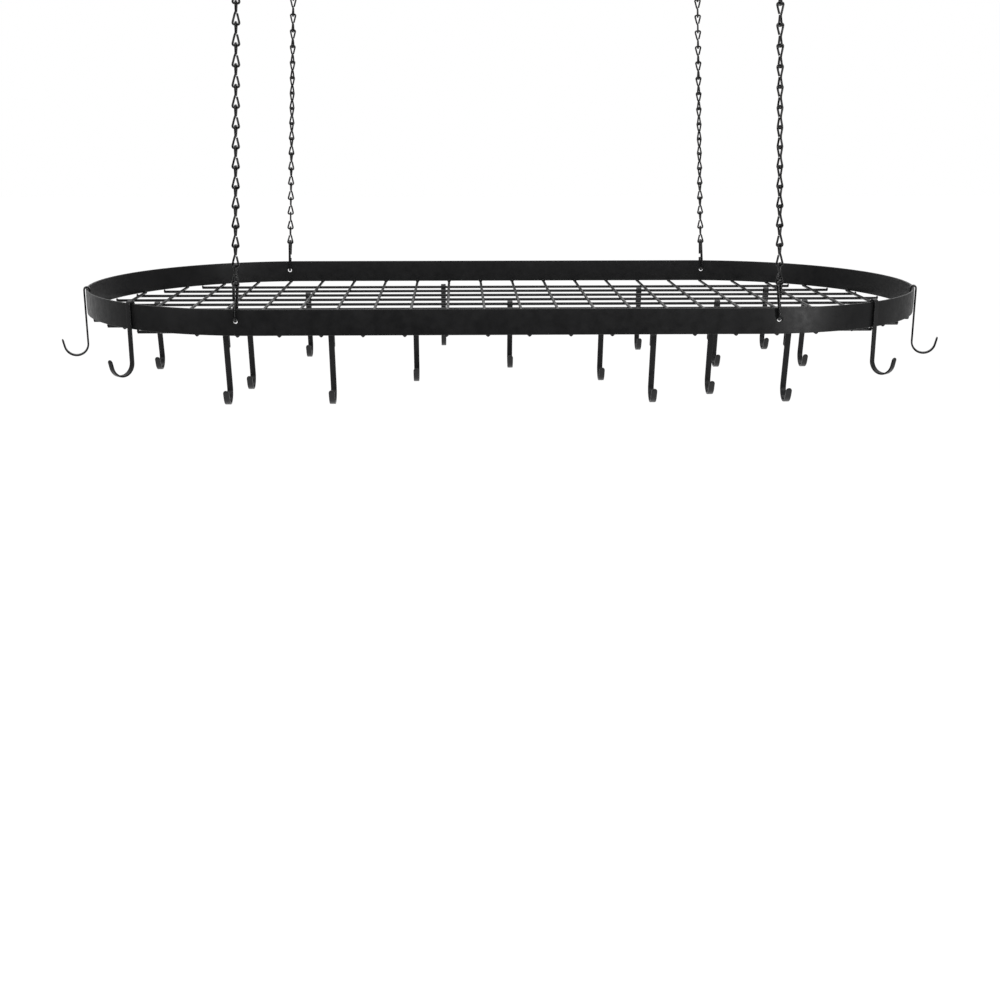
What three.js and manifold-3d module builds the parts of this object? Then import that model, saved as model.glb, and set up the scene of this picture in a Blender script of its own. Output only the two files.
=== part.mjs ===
// Hanging pot rack: an oval steel band with a welded wire grid in its floor, hung from the ceiling on
// four jack chains, with twenty flat strip hooks on its wires and its band.
// Millimetres, +Z up. The origin is in the ceiling plane, midway between the four ceiling hooks.

import * as THREE from 'three';
import { mergeVertices } from 'three/addons/utils/BufferGeometryUtils.js';
import Module from 'manifold-3d';

const wasm = await Module();
wasm.setup();

// ---------------------------------------------------------------- driving dimensions

// Clearance kept wherever one piece rests on another or passes through it.
const CLEARANCE = 0.3;

// Oval band, a steel strip on edge: straight long sides joined by half ellipses.
const RIM_LENGTH = 860;
const RIM_WIDTH = 430;
const RIM_STRAIGHT = 462;
const BAND_HEIGHT = 24;
const BAND_THICKNESS = 2.5;
const RIM_END_STEPS = 34;

// Wire grid: cross wires lie on long wires, welded to each other and butted to the band's inner face.
const GRID_PITCH = 38.1;
const LONG_WIRE_DIAMETER = 3;
const CROSS_WIRE_DIAMETER = 3;
const CROSS_WIRE_DROP = 0.45; // their axes below the band's lower edge
const WIRE_WELD = 1; // how far crossing wires sink into each other
const WIRE_MARGIN = 12; // no wire runs closer to the band than this
const BUTT_GAP = 0.2; // between a wire's end and the band
const WIRE_SIDES = 4;

// Four hanging holes through the band, one near each end of each long side.
const HOLE_SPACING = 497.5;
const HOLE_DIAMETER = 5.4;
const HOLE_HEIGHT = 12.6; // centre above the band's lower edge
const HOLE_SEAT = 0.7; // between the top of the hole and the curved wire in it
const HOLE_SIDES = 12;

// Open connector links: bent wire ovals with a gap in one leg, at both ends of each chain.
const LINK_HEIGHT = 37.5;
const LINK_WIDTH = 10.8;
const LINK_WIRE_DIAMETER = 2.7;
const LINK_GAP = 4;
const LINK_GAP_DROP = 1; // the gap's centre below the middle of the leg
const LINK_TWIST = 10; // degrees that the upper bend is turned about the link's own upright line
const LINK_BEND_STEPS = 4;
const LINK_SIDES = 6;

// Single jack chain: each link is one wire bent into two loops at right angles, ends left open.
const CEILING_DROP = 391; // ceiling to the wire in the band's hole, which decides the number of links
const CHAIN_PITCH = 17.2;
const CHAIN_WIRE_DIAMETER = 1.9;
const LOOP_WIDTH = 7;
const LOOP_CROWN = 3.2; // length of the level stretch at the end of a loop
const LOOP_SHOULDER = 2.2; // how far below that stretch the loop is widest
const END_OFFSET = 1.6; // the wire's ends, sideways from the link's middle and up or down from it
const CROSS_OFFSET = 1; // where the wire passes the middle, sideways
const CROSS_RISE = 1.2; // and up or down
const CHAIN_SIDES = 4;
const CHAIN_WELD = 0.15; // how far the seats of fused links sink into each other
const CHAIN_LEAN = 3; // degrees, tops nearer the middle along X

// Ceiling screw hooks.
const HOOK_DROP = 36; // ceiling to the axis of the wire at the bottom of the curl
const HOOK_WIRE_DIAMETER = 4;
const HOOK_CURL_RADIUS = 8.5; // of the wire's axis
const FLANGE_DIAMETER = 24;
const FLANGE_EDGE = 1.5;
const NECK_DIAMETER = 4.8;
const NECK_DEPTH = 8;
const SCREW_LENGTH = 32;
const SCREW_DIAMETER = 4.4;
const SCREW_POINT = 3;
const SCREW_SIDES = 12;
const NECK_OVERLAP = 1; // how far the curl's wire starts inside the neck
const NECK_LEAD = 2; // and how far it goes on straight below it
const CURL_START = 65; // degrees from +Y towards +Z, where the curl begins and where its open end is
const CURL_END = -205;
const CURL_STEPS = 9;
const CURL_SIDES = 6;

// Utility hooks: one flat strip bent into a narrow U above and a wide J below, on opposite sides.
const STRIP_WIDTH = 5.6;
const STRIP_THICKNESS = 1.8;
const STRIP_HEIGHT = 70.5;
const U_OPENING = 3.6;
const U_STEPS = 4;
const RETURN_LEG = 18; // straight length of the short leg
const J_RADIUS = 11.7; // of the strip's middle
const J_STEPS = 6;
const J_FLARE = 13; // degrees that the tip leans outwards
const J_TIP_RISE = 17; // tip above the lowest point of the strip's middle
const TIP_ROUND = 1.8; // length over which a strip's end narrows
const TIP_WIDTH = 0.5; // and the share of its width that is left at the very end

// ---------------------------------------------------------------- worked out from them

const radians = THREE.MathUtils.degToRad;
const straightHalf = RIM_STRAIGHT / 2;
const endDepth = RIM_LENGTH / 2 - straightHalf;
const widthHalf = RIM_WIDTH / 2;

const chainRadius = CHAIN_WIRE_DIAMETER / 2;
const linkRadius = LINK_WIRE_DIAMETER / 2;
const hookRadius = HOOK_WIRE_DIAMETER / 2;

// The distances between the axes of the wires that hang on each other, from the ceiling down.
const hookToLink = hookRadius + linkRadius + CLEARANCE;
const linkToChain = linkRadius + chainRadius + CLEARANCE;
const linkSpan = LINK_HEIGHT - LINK_WIRE_DIAMETER;
const seatStep = CHAIN_WIRE_DIAMETER - CHAIN_WELD;
const chainLinkSpan = CHAIN_PITCH + seatStep;
const hangerRest = 2 * linkSpan - 2 * linkToChain - hookToLink + seatStep; // all but the chain's pitches
const chainLinks = Math.round((CEILING_DROP - HOOK_DROP - hangerRest) / CHAIN_PITCH);
const chainSpan = chainLinks * CHAIN_PITCH + seatStep;

// Distances along a leaning chain's line, measured up from the wire in the band's hole.
const lowerLinkTop = linkSpan;
const chainBottom = lowerLinkTop - linkToChain;
const chainTop = chainBottom + chainSpan;
const upperLinkBottom = chainTop - linkToChain;
const upperLinkTop = upperLinkBottom + linkSpan;
const hookSeat = upperLinkTop - hookToLink;

const lean = radians(CHAIN_LEAN);
const seatZ = -HOOK_DROP - hookSeat * Math.cos(lean); // the wire's axis in the band's hole
const holeZ = seatZ - (HOLE_DIAMETER / 2 - linkRadius - HOLE_SEAT);
const bandZ = holeZ - HOLE_HEIGHT;
const crossWireZ = bandZ - CROSS_WIRE_DROP;
const longWireZ = crossWireZ - (CROSS_WIRE_DIAMETER + LONG_WIRE_DIAMETER) / 2 + WIRE_WELD;

// ---------------------------------------------------------------- materials

const steel = (name, color, roughness) =>
	new THREE.MeshStandardMaterial({ name, color, roughness, metalness: 0.2 });
const bandBlack = steel('powder_coated_band', 0x1f1f20, 0.55);
const wireBlack = steel('powder_coated_wire', 0x18181a, 0.5);
const stripBlack = steel('powder_coated_strip', 0x1b1b1c, 0.5);
const chainBlack = steel('black_chain', 0x202022, 0.4);

// ---------------------------------------------------------------- solids

function toSolid(geometry) {
	const bare = geometry.clone();
	bare.deleteAttribute('normal');
	bare.deleteAttribute('uv');
	const merged = mergeVertices(bare, 1e-4);
	return new wasm.Manifold(
		new wasm.Mesh({
			numProp: 3,
			vertProperties: new Float32Array(merged.attributes.position.array),
			triVerts: new Uint32Array(merged.index.array),
		}),
	);
}

function toGeometry(solid) {
	const mesh = solid.getMesh();
	const geometry = new THREE.BufferGeometry();
	geometry.setAttribute('position', new THREE.BufferAttribute(mesh.vertProperties.slice(), 3));
	geometry.setIndex(new THREE.BufferAttribute(mesh.triVerts.slice(), 1));
	geometry.computeVertexNormals();
	return geometry;
}

function join(geometries) {
	const [first, ...others] = geometries.map(toSolid);
	return others.reduce((whole, piece) => whole.add(piece), first);
}

function addMesh(group, name, geometry, material) {
	const mesh = new THREE.Mesh(geometry, material);
	mesh.name = name;
	group.add(mesh);
	return mesh;
}

// A closed bar through stations { at, across, side }, each holding the section's two directions there.
// The section is a list of [across, side] pairs, and across x side points along the bar.
function sweep(stations, section) {
	const sides = section.length;
	const positions = [];
	for (const { at, across, side } of stations) {
		for (const [u, v] of section) {
			const corner = at.clone().addScaledVector(across, u).addScaledVector(side, v);
			positions.push(...corner.toArray());
		}
	}
	const index = [];
	for (let s = 0; s < stations.length - 1; s++) {
		for (let k = 0; k < sides; k++) {
			const a = s * sides + k;
			const b = s * sides + ((k + 1) % sides);
			index.push(a, b, b + sides, a, b + sides, a + sides);
		}
	}
	const last = (stations.length - 1) * sides;
	for (let k = 1; k < sides - 1; k++) {
		index.push(0, k + 1, k, last, last + k, last + k + 1);
	}
	const geometry = new THREE.BufferGeometry();
	geometry.setAttribute('position', new THREE.Float32BufferAttribute(positions, 3));
	geometry.setIndex(index);
	geometry.computeVertexNormals();
	return geometry;
}

// The direction of a path of points at point i, halfway between those of the stretches it joins, and how
// much a section has to widen there to keep the bar's thickness.
function bendAt(points, i) {
	const into = points[i].clone().sub(points[Math.max(i - 1, 0)]).normalize();
	const out = points[Math.min(i + 1, points.length - 1)].clone().sub(points[i]).normalize();
	const along = into.clone().add(out).normalize();
	const widen = i === 0 || i === points.length - 1 ? 1 : 1 / along.dot(into);
	return { along, widen };
}

// Stations for a path in the YZ plane of its own frame, where the section's side direction is +X.
function flatStations(points, narrowing = () => 1) {
	return points.map((at, i) => {
		const { along, widen } = bendAt(points, i);
		const side = new THREE.Vector3(1, 0, 0);
		const across = side.clone().cross(along).multiplyScalar(widen);
		return { at, across, side: side.multiplyScalar(narrowing(i)) };
	});
}

// The corners of a bend in the YZ plane, between straight stretches that are tangent to it where it starts
// and ends. Angles are in degrees from +Y towards +Z, and every flat between two corners touches the arc.
function bend(centreY, centreZ, radius, from, to, steps) {
	const step = (to - from) / steps;
	const reach = radius / Math.cos(radians(step / 2));
	return Array.from({ length: steps }, (_, i) => {
		const angle = radians(from + (i + 0.5) * step);
		return new THREE.Vector3(0, centreY + reach * Math.cos(angle), centreZ + reach * Math.sin(angle));
	});
}

function polygon(radius, sides) {
	return Array.from({ length: sides }, (_, k) => {
		const angle = (2 * Math.PI * k) / sides;
		return [radius * Math.cos(angle), radius * Math.sin(angle)];
	});
}

// ---------------------------------------------------------------- oval band

// A point of the band's outer face and its outward normal, on the end at side -1 or +1 along X.
// The angle runs from -90 degrees on the front side, through 0 at the end, to +90 on the back side.
function rimPoint(side, degrees) {
	const angle = radians(degrees);
	const point = new THREE.Vector2(
		side * (straightHalf + endDepth * Math.cos(angle)),
		widthHalf * Math.sin(angle),
	);
	const normal = new THREE.Vector2((side * Math.cos(angle)) / endDepth, Math.sin(angle) / widthHalf);
	return { point, normal: normal.normalize() };
}

// The angle on an end at which the band passes a given distance along X from the middle.
function rimAngleAt(x) {
	const beyond = Math.max(Math.abs(x) - straightHalf, 0);
	return THREE.MathUtils.radToDeg(Math.acos(beyond / endDepth));
}

function rimOutline(inset) {
	const outline = [];
	for (const side of [1, -1]) {
		for (let i = 0; i <= RIM_END_STEPS; i++) {
			const degrees = side * (-90 + (180 * i) / RIM_END_STEPS);
			const { point, normal } = rimPoint(side, degrees);
			outline.push(point.addScaledVector(normal, -inset));
		}
	}
	return outline;
}

// The four corners where the rack hangs. Turns are in degrees about Z: of the link in the band's hole, of
// the lowest chain link, and of the highest one, which the upper link and the ceiling hook go with.
const corners = [
	{ name: 'front_left', x: -1, y: -1, linkTurn: 187, lowTurn: 174, highTurn: 180 },
	{ name: 'front_right', x: 1, y: -1, linkTurn: 16, lowTurn: -20, highTurn: -90 },
	{ name: 'back_left', x: -1, y: 1, linkTurn: -3, lowTurn: 0, highTurn: 90 },
	{ name: 'back_right', x: 1, y: 1, linkTurn: -10, lowTurn: 0, highTurn: 90 },
];
for (const corner of corners) {
	const { point, normal } = rimPoint(corner.x, corner.y * rimAngleAt(HOLE_SPACING / 2));
	corner.normal = normal;
	corner.hole = point.addScaledVector(normal, -BAND_THICKNESS / 2);
}

function rimBand() {
	const shape = new THREE.Shape(rimOutline(0));
	shape.holes.push(new THREE.Path(rimOutline(BAND_THICKNESS)));
	const strip = new THREE.ExtrudeGeometry(shape, { depth: BAND_HEIGHT, bevelEnabled: false });
	let band = toSolid(strip);
	for (const { hole, normal } of corners) {
		const [radius, length] = [HOLE_DIAMETER / 2, 2 * BAND_THICKNESS];
		const drill = new THREE.CylinderGeometry(radius, radius, length, HOLE_SIDES);
		drill.rotateZ(Math.atan2(normal.y, normal.x) - Math.PI / 2);
		drill.translate(hole.x, hole.y, HOLE_HEIGHT);
		band = band.subtract(toSolid(drill));
	}
	return toGeometry(band);
}

// ---------------------------------------------------------------- wire grid

// Places of wires half a pitch either side of the middle and onwards, within a half width.
function wirePlaces(halfWidth) {
	const places = [];
	for (let place = GRID_PITCH / 2; place < halfWidth - WIRE_MARGIN; place += GRID_PITCH) {
		places.push(-place, place);
	}
	return places;
}

function wireGrid() {
	const wire = (diameter, length) =>
		new THREE.CylinderGeometry(diameter / 2, diameter / 2, length, WIRE_SIDES);
	const innerLength = RIM_LENGTH - 2 * BAND_THICKNESS;
	const innerWidth = RIM_WIDTH - 2 * BAND_THICKNESS;
	const wires = [];
	for (const y of wirePlaces(innerWidth / 2)) {
		const longWire = wire(LONG_WIRE_DIAMETER, innerLength);
		wires.push(longWire.rotateZ(Math.PI / 2).translate(0, y, longWireZ - bandZ));
	}
	for (const x of wirePlaces(innerLength / 2)) {
		wires.push(wire(CROSS_WIRE_DIAMETER, innerWidth).translate(x, 0, crossWireZ - bandZ));
	}
	const inside = new THREE.ExtrudeGeometry(
		new THREE.Shape(rimOutline(BAND_THICKNESS + BUTT_GAP)),
		{ depth: 2 * BAND_HEIGHT, bevelEnabled: false },
	);
	inside.translate(0, 0, -BAND_HEIGHT);
	return toGeometry(join(wires).intersect(toSolid(inside)));
}

// ---------------------------------------------------------------- open connector link

// Its lower bend is in the YZ plane, and it stands on the axis of its lowest wire. Its legs are twisted
// a little, so that its upper bend is turned about Z.
function openLink() {
	const half = (LINK_WIDTH - LINK_WIRE_DIAMETER) / 2;
	const gapMiddle = linkSpan / 2 - LINK_GAP_DROP;
	const points = [
		new THREE.Vector3(0, half, gapMiddle + LINK_GAP / 2),
		...bend(0, linkSpan - half, half, 0, 180, LINK_BEND_STEPS),
		...bend(0, half, half, 180, 360, LINK_BEND_STEPS),
		new THREE.Vector3(0, half, gapMiddle - LINK_GAP / 2),
	];
	const upright = new THREE.Vector3(0, 0, 1);
	const stations = flatStations(points);
	for (const { at, across, side } of stations) {
		const rise = THREE.MathUtils.clamp((at.z - half) / (linkSpan - 2 * half), 0, 1);
		for (const vector of [at, across, side]) {
			vector.applyAxisAngle(upright, -radians(LINK_TWIST) * rise);
		}
	}
	return sweep(stations, polygon(linkRadius, LINK_SIDES));
}

// ---------------------------------------------------------------- jack chain

// One link about its middle: the upper loop in the YZ plane and the lower loop in the XZ plane, a single
// wire that starts beside the middle, goes round above, crosses, goes round below and ends beside it.
function chainLinkStations() {
	const top = chainLinkSpan / 2;
	const halfWidth = (LOOP_WIDTH - CHAIN_WIRE_DIAMETER) / 2;
	const loop = [
		[-END_OFFSET, END_OFFSET],
		[-halfWidth, top - LOOP_SHOULDER],
		[-LOOP_CROWN / 2, top],
		[LOOP_CROWN / 2, top],
		[halfWidth, top - LOOP_SHOULDER],
		[CROSS_OFFSET, CROSS_RISE],
	];
	const upper = loop.map(([offset, rise]) => new THREE.Vector3(0, offset, rise));
	const lower = loop.map(([offset, rise]) => new THREE.Vector3(offset, 0, -rise)).reverse();
	const points = [...upper, ...lower];
	const keep = (direction, along) => direction.clone().addScaledVector(along, -direction.dot(along)).normalize();
	return points.map((at, i) => {
		const { along, widen } = bendAt(points, i);
		if (i < upper.length) {
			const side = keep(new THREE.Vector3(1, 0, 0), along);
			return { at, side, across: side.clone().cross(along).multiplyScalar(widen) };
		}
		const across = keep(new THREE.Vector3(0, 1, 0), along);
		return { at, across, side: along.clone().cross(across).multiplyScalar(widen) };
	});
}

// The whole chain, standing on the axis of its lowest wire, its links turning evenly from lowTurn to
// highTurn.
function jackChain(lowTurn, highTurn) {
	const link = sweep(chainLinkStations(), polygon(chainRadius, CHAIN_SIDES));
	const links = [];
	for (let i = 0; i < chainLinks; i++) {
		const turn = lowTurn + ((highTurn - lowTurn) * i) / (chainLinks - 1);
		links.push(link.clone().rotateZ(radians(turn)).translate(0, 0, chainLinkSpan / 2 + i * CHAIN_PITCH));
	}
	return toGeometry(join(links));
}

// ---------------------------------------------------------------- ceiling hook

// In the YZ plane with its flange against z = 0. The wire leaves the neck, swings out to +Y, goes round
// below the screw and ends open at -Y.
function ceilingHook() {
	const profile = [
		[0, SCREW_LENGTH],
		[SCREW_DIAMETER / 4, SCREW_LENGTH - SCREW_POINT],
		[SCREW_DIAMETER / 2, 0],
		[FLANGE_DIAMETER / 2, 0],
		[FLANGE_DIAMETER / 2, -FLANGE_EDGE],
		[NECK_DIAMETER / 2, -2 * FLANGE_EDGE],
		[NECK_DIAMETER / 2, -NECK_DEPTH],
		[0, -NECK_DEPTH],
	];
	const outline = profile.reverse().map(([r, z]) => new THREE.Vector2(r, z));
	const screw = new THREE.LatheGeometry(outline, SCREW_SIDES);
	screw.rotateX(Math.PI / 2);
	const centreZ = HOOK_CURL_RADIUS - HOOK_DROP;
	const points = [
		new THREE.Vector3(0, 0, -NECK_DEPTH + NECK_OVERLAP),
		new THREE.Vector3(0, 0, -NECK_DEPTH - NECK_LEAD),
		...bend(0, centreZ, HOOK_CURL_RADIUS, CURL_START, CURL_END, CURL_STEPS),
	];
	return toGeometry(join([screw, sweep(flatStations(points), polygon(hookRadius, CURL_SIDES))]));
}

// ---------------------------------------------------------------- utility hook

const uRadius = (U_OPENING + STRIP_THICKNESS) / 2;

// The middle of the strip in the YZ plane, from the short leg's end to the tip of the J. The origin is
// the centre of the upper U, the short leg is at +Y and the J opens at -Y.
function stripPath() {
	const topOut = uRadius + STRIP_THICKNESS / 2;
	const jBottom = topOut - STRIP_HEIGHT + STRIP_THICKNESS / 2;
	const jCentreY = -uRadius - J_RADIUS;
	const jCentreZ = jBottom + J_RADIUS;
	const jBend = bend(jCentreY, jCentreZ, J_RADIUS, 0, J_FLARE - 180, J_STEPS);
	const bendEnd = jBend[jBend.length - 1];
	const alongFlare = (z) =>
		new THREE.Vector3(0, bendEnd.y - (z - bendEnd.z) * Math.tan(radians(J_FLARE)), z);
	return [
		new THREE.Vector3(0, uRadius, -RETURN_LEG),
		new THREE.Vector3(0, uRadius, -RETURN_LEG + TIP_ROUND),
		...bend(0, 0, uRadius, 0, 180, U_STEPS),
		...jBend,
		alongFlare(jBottom + J_TIP_RISE - TIP_ROUND),
		alongFlare(jBottom + J_TIP_RISE),
	];
}

function stripHook() {
	const points = stripPath();
	const atEnd = (i) => i === 0 || i === points.length - 1;
	const half = [STRIP_THICKNESS / 2, STRIP_WIDTH / 2];
	const section = [
		[half[0], half[1]],
		[-half[0], half[1]],
		[-half[0], -half[1]],
		[half[0], -half[1]],
	];
	return sweep(flatStations(points, (i) => (atEnd(i) ? TIP_WIDTH : 1)), section);
}

// The angle that a free hook leans back so that its weight is under the wire it hangs on.
function balanceAngle() {
	const points = stripPath();
	const sum = new THREE.Vector3();
	let length = 0;
	for (let i = 1; i < points.length; i++) {
		const step = points[i].distanceTo(points[i - 1]);
		sum.addScaledVector(points[i].clone().add(points[i - 1]), step / 2);
		length += step;
	}
	const middle = sum.divideScalar(length);
	return Math.atan2(-middle.y, -middle.z);
}

// Where the hooks hang. On the grid: the long wire, counted in half pitches from the middle, the bay
// between two cross wires, counted from the middle bay, and the place along X from that bay's middle.
const gridHooks = [
	{ row: 1, bay: -10, shift: 13 },
	{ row: -9, bay: -7, shift: 2 },
	{ row: -5, bay: -7, shift: 13 },
	{ row: 5, bay: -6, shift: 13.5 },
	{ row: -9, bay: -4, shift: -13.5 },
	{ row: -3, bay: -2, shift: -13.5 },
	{ row: 9, bay: -2, shift: 12.5 },
	{ row: 1, bay: 0, shift: 9.5 },
	{ row: -3, bay: 3, shift: -13.5 },
	{ row: 7, bay: 4, shift: 11 },
	{ row: -9, bay: 4, shift: -13.5 },
	{ row: -7, bay: 5, shift: 10 },
	{ row: 1, bay: 6, shift: 5.5 },
	{ row: 7, bay: 8, shift: 7 },
	{ row: -9, bay: 7, shift: 0.5 },
	{ row: 1, bay: 9, shift: -13.5 },
];

// On the band: the end and the angle round it, as in rimPoint.
const rimHooks = [
	{ side: -1, degrees: -15 },
	{ side: -1, degrees: -52 },
	{ side: 1, degrees: -54 },
	{ side: 1, degrees: -17 },
];

// ---------------------------------------------------------------- assembly

const rack = new THREE.Group();

addMesh(rack, 'rim_band', rimBand(), bandBlack).position.z = bandZ;
addMesh(rack, 'wire_grid', wireGrid(), wireBlack).position.z = bandZ;

// A hanger is a group on the line from the wire in the band's hole up to the ceiling hook.
const linkShape = openLink();
const hookShape = ceilingHook();
for (const corner of corners) {
	const hanger = new THREE.Group();
	hanger.position.set(corner.hole.x, corner.hole.y, seatZ);
	hanger.rotation.y = -corner.x * lean;
	rack.add(hanger);

	const lowerLink = addMesh(hanger, `rim_link_${corner.name}`, linkShape, chainBlack);
	lowerLink.rotation.z = -radians(corner.linkTurn);

	const chain = jackChain(corner.lowTurn, corner.highTurn);
	addMesh(hanger, `chain_${corner.name}`, chain, chainBlack).position.z = chainBottom;

	const upperLink = addMesh(hanger, `ceiling_link_${corner.name}`, linkShape, chainBlack);
	upperLink.position.z = upperLinkBottom;
	upperLink.rotation.z = radians(corner.highTurn - 90 + LINK_TWIST / 2);

	const ceilingHookMesh = addMesh(rack, `ceiling_hook_${corner.name}`, hookShape, chainBlack);
	ceilingHookMesh.position.set(
		corner.hole.x - corner.x * hookSeat * Math.sin(lean),
		corner.hole.y,
		0,
	);
	ceilingHookMesh.rotation.z = radians(corner.highTurn);
}

const stripShape = stripHook();
const leanBack = balanceAngle();
const rimHookDrop = Math.sqrt((U_OPENING / 2) ** 2 - (BAND_THICKNESS / 2) ** 2) - CLEARANCE;
let hookNumber = 0;
const nextHook = () => {
	hookNumber += 1;
	return addMesh(rack, `utility_hook_${String(hookNumber).padStart(2, '0')}`, stripShape, stripBlack);
};

for (const { side, degrees } of rimHooks) {
	const { point, normal } = rimPoint(side, degrees);
	point.addScaledVector(normal, -BAND_THICKNESS / 2);
	const hook = nextHook();
	hook.position.set(point.x, point.y, bandZ + BAND_HEIGHT - rimHookDrop);
	hook.rotation.z = Math.atan2(normal.y, normal.x) + Math.PI / 2;
}

for (const { row, bay, shift } of gridHooks) {
	const hook = nextHook();
	hook.position.set(bay * GRID_PITCH + shift, (row * GRID_PITCH) / 2, longWireZ);
	hook.rotation.x = leanBack;
}

export default rack;
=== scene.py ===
"""Looks of the hanging pot rack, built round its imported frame.

Shapes are worked out in millimetres in the frame's axes and written in metres. Each piece stands for one
node of the frame and follows its solid's route, with round wires, rounded strip edges, a threaded screw and
weld beads.
"""

import math

import bmesh
import bpy
import numpy as np
from mathutils import Matrix, Vector


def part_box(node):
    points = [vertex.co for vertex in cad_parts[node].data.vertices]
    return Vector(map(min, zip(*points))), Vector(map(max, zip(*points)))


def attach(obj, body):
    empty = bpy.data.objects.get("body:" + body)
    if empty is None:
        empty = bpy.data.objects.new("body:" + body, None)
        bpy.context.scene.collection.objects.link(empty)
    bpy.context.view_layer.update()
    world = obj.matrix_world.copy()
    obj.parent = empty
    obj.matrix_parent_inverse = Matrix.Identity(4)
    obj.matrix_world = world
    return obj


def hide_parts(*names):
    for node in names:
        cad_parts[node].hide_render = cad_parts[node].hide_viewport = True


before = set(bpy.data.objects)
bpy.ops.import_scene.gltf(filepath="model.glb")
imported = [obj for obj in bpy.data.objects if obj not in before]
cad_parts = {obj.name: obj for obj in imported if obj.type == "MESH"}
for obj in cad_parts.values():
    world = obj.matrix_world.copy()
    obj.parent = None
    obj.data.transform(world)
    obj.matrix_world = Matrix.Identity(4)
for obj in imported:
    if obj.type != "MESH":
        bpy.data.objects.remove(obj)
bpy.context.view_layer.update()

MM = 0.001
TAU = 2 * math.pi

# ---------------------------------------------------------------- dimensions, in millimetres and degrees

CLEARANCE = 0.3             # kept wherever one piece rests on another

# The oval band, a strip on edge: straight long sides joined by half ellipses.
RIM_LENGTH = 860
RIM_WIDTH = 430
RIM_STRAIGHT = 462
BAND_HEIGHT = 24
BAND_THICKNESS = 2.5
BAND_EDGE = 0.55            # rounding of the strip's long edges
BAND_CROWN = 0.25           # how far a rolled face falls back from its middle to its edges
BAND_STEP = 4               # spacing of the mesh along the band
EDGE_STEP = 0.5             # height of the mesh's row next to each rounded edge
END_STEPS = 1200            # steps round each half ellipse on which lengths are measured

# Four hanging holes through it.
HOLE_SPACING = 497.5
HOLE_DIAMETER = 4.6         # as it looks; the frame's hole leaves the link more play
HOLE_HEIGHT = 13.35         # centre above the band's lower edge
HOLE_CHAMFER = 0.35
HOLE_PATCH = 5              # half size of the square of finer mesh round a hole
PATCH_STEPS = 8
PATCH_SQUARENESS = 0.4      # how square the mesh's ring between a patch's edge and its hole is

# Wire grid: cross wires on long wires, with a weld bead at every joint.
GRID_PITCH = 38.1
LONG_WIRE_DIAMETER = 3
CROSS_WIRE_DIAMETER = 3
CROSS_WIRE_DROP = 0.45      # their axes below the band's lower edge
WIRE_WELD = 1               # how far crossing wires sink into each other
WIRE_MARGIN = 12            # no wire runs closer to the band than this
WIRE_END_ROUNDING = 0.2
LONG_WIRE_BEAD = (1.1, 2.0, 1.7)        # half axes along X, Y and Z
LONG_BEAD_RISE = 0.9                    # above the wire's axis
CROSS_WIRE_BEAD = (2.2, 1.1, 1.7)
CROSS_BEAD_RISE = 0.5
BEAD_INSET = 0.5                        # from the band's inner face to the bead's middle
CROSSING_BEAD = (1.7, 1.7, 0.55)
CROSSING_MARGIN = 4                     # a crossing closer to the band shares the bead there

# Open connector links at both ends of each chain.
LINK_HEIGHT = 37.5
LINK_WIDTH = 10.8
LINK_WIRE_DIAMETER = 2.7
LINK_COAT = 0.03            # what the coat adds to the wire's radius
LINK_GAP = 4
LINK_GAP_DROP = 1           # the gap's middle below the middle of the leg
UPPER_LINK_TWIST = 10       # of the ceiling links; the lower ones have their own

# Single jack chain: each link is one wire bent into two loops at right angles.
CHAIN_LINKS = 17
CHAIN_PITCH = 17.2
CHAIN_WIRE_DIAMETER = 1.9
CHAIN_SEAT = 1.75           # between the axes of two seated wires
LOOP_CORNER = 3.35          # half the distance between the crown's corners, before they are rounded
LOOP_BEND = 1.5             # radius of those corners
LOOP_END = (-0.95, 0.3)     # the wire's end, sideways and up from the link's middle
LOOP_CROSSING = (1.2, 1.2)  # and where it goes over to the other loop
CHAIN_LEAN = 3              # tops nearer the middle along X

# Ceiling screw hooks.
HOOK_DROP = 36              # ceiling to the wire's axis at the bottom of the curl
HOOK_WIRE_DIAMETER = 4
HOOK_CURL_RADIUS = 8.5      # of the wire's axis
HOOK_KNEE = 7               # radius of the bend above the curl
HOOK_TIP = -205             # where the curl ends, from +Y towards +Z
FLANGE_DIAMETER = 24
FLANGE_EDGE = 1.5
NECK_DIAMETER = 4.8
NECK_DEPTH = 8
NECK_OVERLAP = 4            # how far the curl's wire starts inside the neck
NECK_LEAD = 2               # and how far below the neck its knee's corner is
SCREW_LENGTH = 32
SCREW_DIAMETER = 4.4
SCREW_TAPER = 0.5           # share of the radius that is lost before the point
SCREW_POINT = 3             # length of the point
SCREW_TIP = 0.4             # from the last ring of the mesh to the tip
SCREW_ROOT = 0.5            # how far the screw starts inside the flange
THREAD_PITCH = 2.0
THREAD_DEPTH = 0.55
THREAD_CUT = 0.6            # the most that this depth is of the radius, near the point
THREAD_WIDTH = 0.28         # half width of the ridge's foot, as a share of the pitch
THREAD_RUNOUT = 2           # length over which the ridge rises and falls at its two ends
THREAD_STOP = 0.6           # from the ridge's upper end to the tip

# Utility hooks: one flat strip bent into a narrow U above and a wide J below.
STRIP_WIDTH = 5.6
STRIP_THICKNESS = 1.8
STRIP_HEIGHT = 70.5
STRIP_EDGE = 0.55           # rounding of its long edges
STRIP_TIP = 0.45            # share of the thickness that is left at a rounded end
U_OPENING = 3.6
RETURN_LEG = 18             # straight length of the short leg
J_RADIUS = 11.7             # of the strip's middle
J_FLARE = 13                # how far the tip leans outwards
J_TIP_RISE = 17             # tip above the lowest point of the strip's middle

straight_half = RIM_STRAIGHT / 2
end_depth = RIM_LENGTH / 2 - straight_half
width_half = RIM_WIDTH / 2
hole_angle = math.acos((HOLE_SPACING / 2 - straight_half) / end_depth)

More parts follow.
